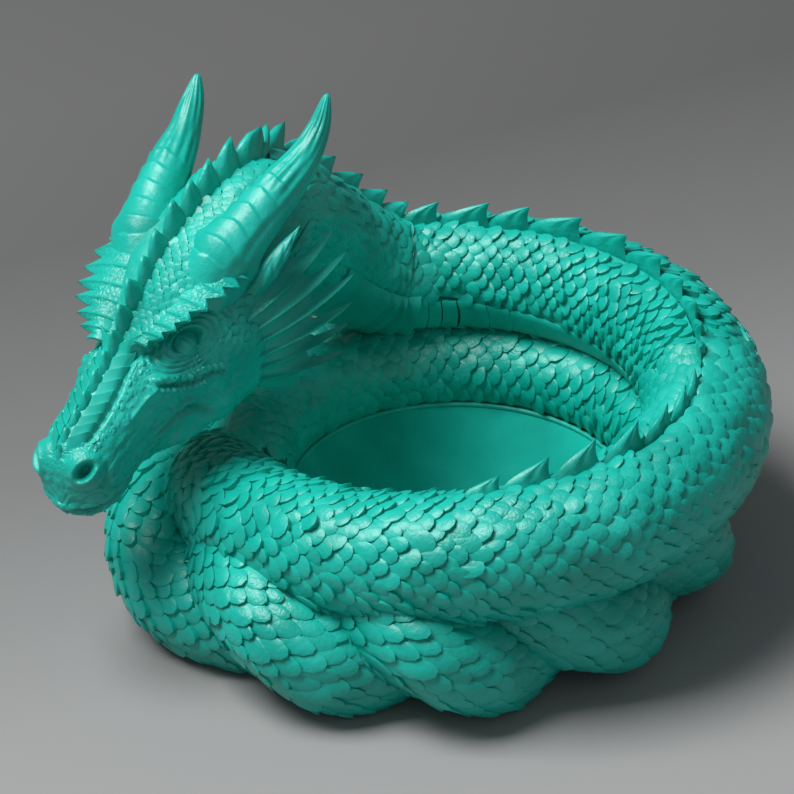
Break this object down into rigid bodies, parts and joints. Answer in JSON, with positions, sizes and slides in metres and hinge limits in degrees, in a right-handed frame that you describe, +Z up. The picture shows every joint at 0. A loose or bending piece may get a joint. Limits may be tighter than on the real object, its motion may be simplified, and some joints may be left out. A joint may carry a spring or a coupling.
{
  "type": "dice tower tray",
  "caption": "Open dice bowl ringed by a coiled dragon body, its twisted base strands outside and its horned head resting over the rim.",
  "frame": {"origin": "centre of the bowl at the table surface", "axes": "+Z up, +X to the right of someone facing the head side, -Y towards the front"},
  "size_m": [0.1884, 0.1699, 0.136],
  "materials": {
    "teal_resin": "satin"
  },
  "bodies": {
    "root": {"bowl_dish": "teal_resin", "twist_coil_a": "teal_resin", "twist_coil_b": "teal_resin", "upper_coil": "teal_resin", "middle_coil": "teal_resin", "neck": "teal_resin", "belly_plates": "teal_resin", "throat_plates": "teal_resin", "back_fins": "teal_resin", "neck_fins": "teal_resin", "skull": "teal_resin", "lower_jaw": "teal_resin", "snout_fins": "teal_resin", "snout_plates_left": "teal_resin", "snout_plates_right": "teal_resin", "brow_crest_left": "teal_resin", "brow_crest_right": "teal_resin", "eye_left": "teal_resin", "eye_right": "teal_resin", "horn_left": "teal_resin", "horn_right": "teal_resin", "ear_left": "teal_resin", "ear_right": "teal_resin", "cheek_frill_left": "teal_resin", "cheek_frill_right": "teal_resin", "jaw_fringe_left": "teal_resin", "jaw_fringe_right": "teal_resin"}
  },
  "joints": []
}
